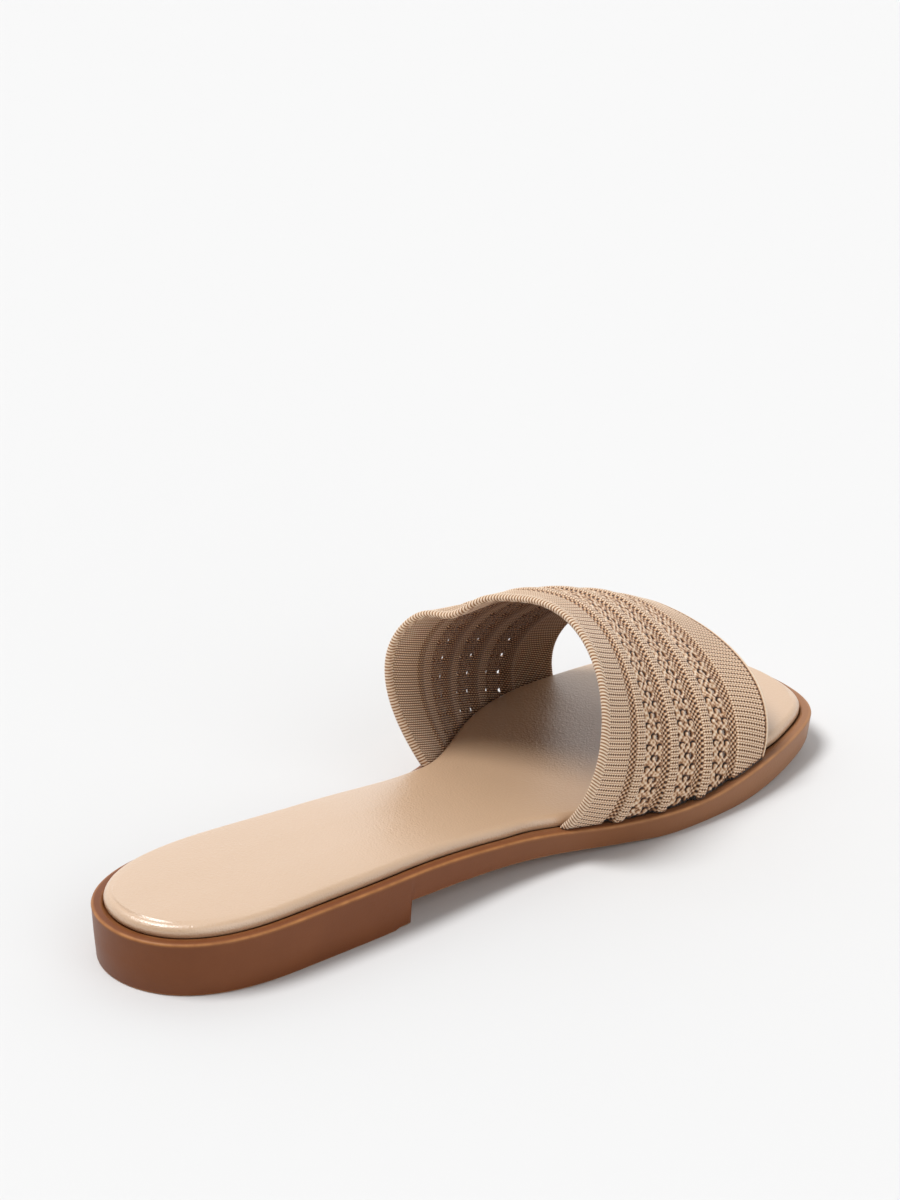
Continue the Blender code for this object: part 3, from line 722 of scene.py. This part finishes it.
# The dark tones between the hem's turns and at its needle holes are painted shade.
ROPE_TONE, ROPE, ROPE_TURN, ROPE_SLANT = 0.04, Mark(-0.00024, 0.62), 1.25 * ROW, 0.0036
FRONT_HEM_TONE, NEEDLE_HOLE, NEEDLE_PITCH = 0.16, Mark(-0.00034, 0.95), 1.5 * ROW
NEEDLE_LINE, NEEDLE_WIDTH, NEEDLE_LEAST = 0.0003, 0.00034, 0.45
REVERSE_ROW, REVERSE_DASH, REVERSE_OPEN_TONE = Mark(-0.00026, 0.60), Mark(0.00008, -0.42), 0.12
REVERSE_HEM_ROW, REVERSE_SHARPNESS = -0.00020, 1.2
# Distance from stitch to stitch along a row.
DOT_PITCH = {"border": 0.00117, "rib": 0.00112, "groove": 0.0010, "lace": 0.0011, "reverse": 0.00105}
# Columns of the lace: place across the strip, and phase of its crescents.
LACE_COLUMNS = ((0.0021, 0.0), (0.0047, 0.5), (0.0074, 0.0))
CRESCENT_WIDE, CRESCENT_TALL = 0.00130, 0.00085
CRESCENT_OPENS = math.radians(42)
CRESCENT_CLOSED, CRESCENT_TAPER = 0.52, 0.85
CRESCENT_THICK, CUP_SPREAD = 0.24, 0.85
# Cuts over each crescent: both ends of each, across and down from the crescent's middle, and strength.
FORK_CUTS = (((-0.0020, -0.0019), (-0.0014, -0.0008), 1.0), ((0.0004, -0.0017), (-0.0011, -0.0008), 0.8))
CUT_WIDTH = 0.00030
# Holes of the lace: place across the strip, phase, and radius.
LACE_HOLES = ((0.0008, 0.5, 0.00050), (0.0067, 0.5, 0.00064))
# In radii of a hole: the dish it lies in, the painted shade round it, and the lip of yarn outside that,
# which carries a painted highlight.
HOLE_DISH, HOLE_SHADE, HOLE_LIP = 2.0, 1.25, 2.1
HOLE_LIP_WIDTH, HOLE_LIP_HIGHLIGHT = 0.00030, -0.15
# A slanting pit between the first two columns: its place across the strip, its phase and its ends.
PIT_ACROSS, PIT_PHASE = 0.0039, 0.0
PIT_ENDS = ((-0.0004, 0.0003), (0.0004, -0.0002))


def bell(distance, width):
    """1 at no distance, and soon 0 past the width."""
    return np.exp(-(distance / width) ** 2)


def wave(turns):
    """1 at whole turns and 0 halfway between them."""
    return 0.5 + 0.5 * np.cos(2 * np.pi * turns)


def stitch_rows(a, b, pitch):
    """Dotted furrows that run from heel to toe, a deep one and a faint one in turn, and crests between."""
    row = a / ROW
    aside = np.abs(row - np.round(row)) * ROW
    strong = np.round(row).astype(int) % 2 == 0
    furrow = np.where(strong, bell(aside, FURROW_WIDTH), FAINT_SHARE * bell(aside, FAINT_WIDTH))
    dots = wave(b / pitch + np.where(strong, 0.0, 0.5)) ** DOT_SHARPNESS
    deep, dark = (least + (1 - least) * dots for least in UNDOTTED)
    crests = bell(ROW / 2 - aside, CREST_WIDTH) * wave(b / pitch + 0.5)
    height = FURROW.height * furrow * deep + CREST.height * crests
    # Painted shade in the furrows and their dots, and a painted highlight on the crests.
    shade = YARN_TONE + FURROW.tone * furrow * dark + CREST.tone * crests
    return height, shade


def dotted_groove(a, b):
    """Three files of small dots of painted shade between knots with a painted highlight, each file half a
    stitch on from the last.
    """
    weave = np.cos(np.pi * a / ROW) * np.cos(np.pi * b / DOT_PITCH["groove"])
    dark, bright = np.clip(weave, 0, 1) ** GROOVE_DOT_SHARPNESS, np.clip(-weave, 0, 1)
    height = GROOVE_KNOT.height * bright + GROOVE_DOT.height * dark
    return height, GROOVE_TONE + GROOVE_KNOT.tone * bright + GROOVE_DOT.tone * dark


def lace_turn(a, phase):
    """Distance down from the middle of the nearest stitch group of a column, towards the outer foot."""
    turns = a / LACE_PERIOD - phase
    return -(turns - np.round(turns)) * LACE_PERIOD


def stroke(p, q, near, far):
    """1 along a short straight cut between two ends, falling off to its sides."""
    dq, dp = far[0] - near[0], far[1] - near[1]
    t = np.clip(((q - near[0]) * dq + (p - near[1]) * dp) / (dq * dq + dp * dp), 0, 1)
    return bell(np.hypot(q - near[0] - t * dq, p - near[1] - t * dp), CUT_WIDTH)


def lace(a, b):
    """Openwork: columns of cups, a deep crescent round each and two cuts over it, and holes between."""
    loops = np.cos(np.pi * a / ROW) * np.cos(np.pi * (b + LOOP_SLANT * a) / DOT_PITCH["lace"])
    height = LACE_LOOP.height * loops
    shade = LACE_TONE + LACE_LOOP.tone * loops
    for middle, phase in LACE_COLUMNS:
        p, q = lace_turn(a, phase), b - middle
        ring = np.hypot(p / CRESCENT_TALL, q / CRESCENT_WIDE)
        angle = np.arctan2(p / CRESCENT_TALL, q / CRESCENT_WIDE)
        closed = np.clip(CRESCENT_CLOSED - CRESCENT_TAPER * np.cos(angle - CRESCENT_OPENS), 0, 1)
        crescent = bell(ring - 1, CRESCENT_THICK) * closed
        cup = bell(ring, CUP_SPREAD)
        fork = np.maximum(*(strength * stroke(p, q, near, far) for near, far, strength in FORK_CUTS))
        height += CUP.height * cup + CRESCENT.height * crescent + FORK.height * fork
        shade += CUP.tone * cup + CRESCENT.tone * crescent + FORK.tone * fork
    pit = stroke(lace_turn(a, PIT_PHASE), b - PIT_ACROSS, *PIT_ENDS)
    height += PIT.height * pit
    shade += PIT.tone * pit
    for middle, phase, radius in LACE_HOLES:
        away = np.hypot(lace_turn(a, phase), b - middle)
        height += HOLE.height * bell(away, HOLE_DISH * radius)
        # Painted shade round the hole, and a painted highlight on its lip.
        shade += HOLE.tone * bell(away, HOLE_SHADE * radius)
        shade += HOLE_LIP_HIGHLIGHT * bell(away - HOLE_LIP * radius, HOLE_LIP_WIDTH)
    gathers = bell(b - LACE.width, GATHER_WIDTH)
    gathers *= wave((a + GATHER_SLANT * b) / ROW) ** STITCH_SHARPNESS
    return height + GATHER.height * gathers, shade + GATHER.tone * gathers


def hem_rope(a, b):
    """Rolled hem: yarn laid over the edge in slanting turns."""
    between = wave(a / ROPE_TURN + b / ROPE_SLANT) ** STITCH_SHARPNESS
    return ROPE.height * between, ROPE_TONE + ROPE.tone * between


def front_hem(a, b):
    """Smooth rolled hem with a file of needle holes just inside it."""
    holes = bell(b - NEEDLE_LINE, NEEDLE_WIDTH)
    holes *= NEEDLE_LEAST + (1 - NEEDLE_LEAST) * wave(a / NEEDLE_PITCH)
    return NEEDLE_HOLE.height * holes, FRONT_HEM_TONE + NEEDLE_HOLE.tone * holes


RELIEF = {
    "hem": hem_rope,
    "front_hem": front_hem,
    "border": lambda a, b: stitch_rows(a, b, DOT_PITCH["border"]),
    "rib": lambda a, b: stitch_rows(a, b, DOT_PITCH["rib"]),
    "groove": dotted_groove,
    "lace": lace,
}
strips = [strip for panel in PANELS.values() for strip in panel]
strip_starts = np.concatenate([[0], np.cumsum([strip.width for strip in strips])])
# A strip's ramps to its neighbours are this long, or this share of a narrow strip.
STRIP_RAMP, RAMP_SHARE = 0.0016, 0.6


def strip_values(b):
    """Wall and lift across the band, with soft ramps from strip to strip."""
    knots, walls, lifts = [], [], []
    for strip, start in zip(strips, strip_starts):
        ramp = min(STRIP_RAMP, strip.width * RAMP_SHARE) / 2
        knots += [start + ramp, start + strip.width - ramp]
        walls += [strip.wall] * 2
        lifts += [strip.lift] * 2
    return np.interp(b, knots, walls), np.interp(b, knots, lifts)


def strip_numbers(b):
    """The number of the strip at each distance across the band."""
    return np.clip(np.searchsorted(strip_starts, b, side="right") - 1, 0, len(strips) - 1)


def knit_relief(a, b, numbers):
    """Outer face: the relief and tone of each point's own strip."""
    height, shade = np.zeros_like(a), np.zeros_like(a)
    for number in np.unique(numbers):
        here = numbers == number
        relief = RELIEF[strips[number].kind]
        height[here], shade[here] = relief(a[here], b[here] - strip_starts[number])
    return height, shade


def knit_reverse(a, b, kinds):
    """Inner face: plain fine rows in painted shade with short dashes of painted highlight, and darker
    behind the lace and the grooves.
    """
    row = wave(a / ROW) ** REVERSE_SHARPNESS
    dashes = wave(b / DOT_PITCH["reverse"] + 0.5 * (np.round(a / ROW + 0.5) % 2)) * (1 - row)
    height = REVERSE_ROW.height * row + REVERSE_DASH.height * dashes
    shade = YARN_TONE + REVERSE_ROW.tone * row + REVERSE_DASH.tone * dashes
    shade += REVERSE_OPEN_TONE * np.isin(kinds, ("lace", "groove"))
    return np.where(np.isin(kinds, ("hem", "front_hem")), REVERSE_HEM_ROW * row, height), shade


LEAST_SQUARED = 0.02


def rolled_edge(b):
    """Share of the wall's thickness at a distance across the band: less where the hems round over."""
    radius = HEM.wall / 2
    into = np.minimum(b, BAND_WIDTH - b)
    t = np.clip(1 - into / radius, 0, 1)
    return np.sqrt(np.clip(1 - t * t, LEAST_SQUARED, 1))


# Painted shade: the outer face's lowest yarns are toned dark over the ledge, as a shaded gap under the
# knit.
FOOT_SHADE, FOOT_SHADE_REACH = 0.9, 0.0008
# Painted shade: the knit's inner face is toned darker from the back edge inwards, and from the feet up.
INSIDE_SHADE, INSIDE_FROM, INSIDE_TO = 0.16, 0.006, 0.030
# Behind the lace the inner face sinks a little deeper than the outer one: the wall is thin at the holes.
LACE_BACK_DEPTH = 1.1
# The strips stand out more just above the feet, where the band is drawn in.
GATHERED_LIFT, GATHERED_REACH = 1.2, 0.009


def wrap(flat, is_foot):
    """Places and tone of flat knit points (round the foot in the pattern, across, face), once lasted."""
    b, outside = flat[:, 1], flat[:, 2] > 0.5
    a = flat[:, 0] - slant(b)
    wall, lift = strip_values(b)
    numbers = strip_numbers(b)
    kinds = np.array([strip.kind for strip in strips])[numbers]
    height, shade = knit_relief(flat[:, 0], b, numbers)
    reverse, reverse_shade = knit_reverse(flat[:, 0], b, kinds)
    reverse = np.minimum(reverse, np.where(kinds == "lace", LACE_BACK_DEPTH * height, reverse))
    height = np.where(outside, height, reverse)
    shade = np.where(outside | (kinds == "hem"), shade, reverse_shade)
    above_foot = np.minimum(a + reach("outer", b), reach("inner", b) - a)
    lift = lift * (1 + GATHERED_LIFT * bell(above_foot, GATHERED_REACH))
    half = wall / 2 * rolled_edge(b)
    offset = lift + np.where(outside, half + height, -half - height)
    places = on_sheet(sheet, a, b) + on_sheet(sheet_out, a, b) * offset[:, None]
    around = (a + reach("outer", b)) / (reach("outer", b) + reach("inner", b))
    aside = (around - EDGE_DIP_AROUND) * GIRTH / EDGE_DIP_HALF_WIDTH
    places[:, 2] -= EDGE_DIP_DEPTH * np.exp(-aside ** 2) * np.exp(-(b / EDGE_DIP_REACH) ** 2)
    floor_here = ledge_height(places[:, 1]) + CLEARANCE
    places[:, 2] = np.where(is_foot, floor_here, np.maximum(places[:, 2], floor_here))
    # Painted shade on the inner face, growing away from the back edge and the feet.
    inside_shade = np.where(outside, 0.0, np.clip((b - INSIDE_FROM) / (INSIDE_TO - INSIDE_FROM), 0.0, 1.0))
    inside_shade *= np.clip(above_foot / INSIDE_TO, 0.0, 1.0)
    # Painted shade along the foot of the outer face.
    shade = shade + np.where(outside, FOOT_SHADE * bell(above_foot, FOOT_SHADE_REACH), 0.0)
    return places, shade + INSIDE_SHADE * inside_shade


# The band's two feet, and which way each lies in the pattern.
FEET = (("outer", -1), ("inner", 1))
TOUCHING = 2e-6
# A hole is pulled a little to three corners by its yarns. Knit inside its rim is cut away, and knit from
# there to just past the rim is moved onto the rim.
HOLE_CORNERS = 0.22
CUT_WITHIN, MOVED_BEYOND = 0.00011, 0.00013


def hole_rim(radius, angle):
    return radius * (1 + HOLE_CORNERS * math.cos(3 * angle + math.pi))


def open_holes(bm, lace_start):
    """Opens the lace's holes in the flat knit, and shapes each rim."""
    cut = set()
    for vertex in bm.verts:
        a, b = vertex.co.x, vertex.co.y - lace_start
        for middle, phase, radius in LACE_HOLES:
            p, q = float(lace_turn(a, phase)), b - middle
            away = math.hypot(p, q)
            rim = hole_rim(radius, math.atan2(p, q))
            if away < rim - CUT_WITHIN:
                cut.add(vertex)
            elif away < rim + MOVED_BEYOND:
                vertex.co.x -= p / away * (rim - away)
                vertex.co.y += q / away * (rim - away)
    bmesh.ops.delete(bm, geom=list(cut), context="VERTS")


def panel_lines(panel, start):
    """Distances across the band of a panel's mesh lines, closer together where a hem rolls over."""
    lines = []
    for strip in panel:
        steps = np.linspace(0, 1, strip.columns + 1)[:-1]
        if strip.kind == "hem":
            steps = 1 - np.cos(steps * math.pi / 2)
        if strip.kind == "front_hem":
            steps = np.sin(steps * math.pi / 2)
        lines += list(start + steps * strip.width)
        start += strip.width
    return np.array(lines + [start])


def flat_knit(panel, start):
    """One face of a panel knitted flat, with its holes opened and both its ends trimmed at the feet.

    Gives the bmesh, and for each foot its side of the pattern and the two ends of its line.
    """
    lines = panel_lines(panel, start)
    edges = (start, lines[-1])
    step = ROW / STEPS_A_ROW
    ends = {side: [float(sign * reach(side, b) + slant(b)) for b in edges] for side, sign in FEET}
    first = math.floor(min(ends["outer"]) / step)
    last = math.ceil(max(ends["inner"]) / step)
    bm = bmesh.new()
    bmesh.ops.create_grid(bm, x_segments=last - first, y_segments=len(lines) - 1, size=0.5)
    for vertex in bm.verts:
        column = round((vertex.co.x + 0.5) * (last - first))
        line = round((vertex.co.y + 0.5) * (len(lines) - 1))
        vertex.co = ((first + column) * step, lines[line], 0.0)
    if LACE in panel:
        open_holes(bm, start + RIB.width)
    feet = []
    for side, sign in FEET:
        near, far = (Vector((end, b, 0.0)) for end, b in zip(ends[side], edges))
        feet.append((sign, near, far))
        run = far - near
        bmesh.ops.bisect_plane(bm, geom=bm.verts[:] + bm.edges[:] + bm.faces[:], plane_co=near,
                               plane_no=(sign * run.y, -sign * run.x, 0.0), dist=1e-7, clear_outer=True)
    return bm, feet


def knit_panel(name, panel, start):
    """Knits one panel flat, gives it a second face, and lasts it over the sole."""
    bm, feet = flat_knit(panel, start)
    raised = bmesh.ops.extrude_face_region(bm, geom=bm.faces[:], use_keep_orig=True)["geom"]
    for item in raised:
        if isinstance(item, bmesh.types.BMVert):
            item.co.z = 1.0
    made = add_piece(name, bm, knit)
    mesh = made.data
    flat = read_vectors(mesh, "co")
    is_foot = np.zeros(len(flat), dtype=bool)
    for sign, near, far in feet:
        foot_line = near.x + (far.x - near.x) * (flat[:, 1] - near.y) / (far.y - near.y)
        is_foot |= sign * (flat[:, 0] - foot_line) > -TOUCHING
    places, shade = wrap(flat, is_foot)
    mesh.vertices.foreach_set("co", places.ravel())
    store_values(mesh, "shade", shade)
    corners = np.zeros(len(mesh.loops), dtype=np.int32)
    mesh.loops.foreach_get("vertex_index", corners)
    mesh.uv_layers.new(name="knit").data.foreach_set("uv", (flat[corners, :2] / MILLIMETRE).ravel())
    fixed = bmesh.new()
    fixed.from_mesh(mesh)
    bmesh.ops.recalc_face_normals(fixed, faces=fixed.faces)
    fixed.to_mesh(mesh)
    fixed.free()
    return made


# Tones of the yarn, from a painted highlight on its brightest crests to painted shade between the
# stitches.
YARN_TONES = ((0.0, "fff4e2"), (0.26, "eccdad"), (0.42, "ba8b62"), (0.60, "7c5030"), (1.0, "160a04"))
TUFT_TONES = ("e9e4df", "ffffff")


def cotton_knit():
    """Dull cotton-look yarn: warm beige and furry, with painted shade almost black-brown between the
    stitches.
    """
    made, tree, shader = new_material("beige_cotton_knit")
    place = add_node(tree, "ShaderNodeUVMap", uv_map="knit").outputs["UV"]
    tufts = add_node(tree, "ShaderNodeTexNoise", {"Vector": place, "Scale": 2.2, "Detail": 4.0})
    yarn = add_node(tree, "ShaderNodeMix", {"Factor": tufts.outputs["Fac"], "A": linear(TUFT_TONES[0]),
                                            "B": linear(TUFT_TONES[1])}, data_type="RGBA")
    shade = add_node(tree, "ShaderNodeAttribute", attribute_name="shade").outputs["Fac"]
    tones = add_node(tree, "ShaderNodeValToRGB", {"Fac": shade})
    ramp = tones.color_ramp.elements
    ramp[0].position, ramp[0].color = 0.0, linear(YARN_TONES[0][1])
    ramp[1].position, ramp[1].color = 1.0, linear(YARN_TONES[-1][1])
    for position, tone in YARN_TONES[1:-1]:
        ramp.new(position).color = linear(tone)
    colour = add_node(tree, "ShaderNodeMix", {"Factor": 1.0, "A": tones.outputs["Color"],
                                              "B": yarn.outputs["Result"]},
                      data_type="RGBA", blend_type="MULTIPLY")
    twist = add_node(tree, "ShaderNodeTexWave", {"Vector": place, "Scale": 1.3, "Distortion": 2.5,
                                                 "Detail": 2.0}, bands_direction="DIAGONAL")
    fluff = add_node(tree, "ShaderNodeMath", {0: twist.outputs["Fac"], 1: tufts.outputs["Fac"]},
                     operation="ADD")
    bump = add_node(tree, "ShaderNodeBump", {"Height": fluff.outputs[0], "Strength": 0.5,
                                             "Distance": 0.0001})
    tree.links.new(colour.outputs["Result"], shader.inputs["Base Color"])
    tree.links.new(bump.outputs["Normal"], shader.inputs["Normal"])
    shader.inputs["Roughness"].default_value = 0.88
    shader.inputs["Sheen Weight"].default_value = 0.25
    shader.inputs["Sheen Roughness"].default_value = 0.5
    return made


knit = cotton_knit()
panel_start = 0.0
for panel_name, panel in PANELS.items():
    piece = knit_panel(panel_name, panel, panel_start)
    panel_start += sum(strip.width for strip in panel)
    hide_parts("upper_band")
    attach(piece, "root")
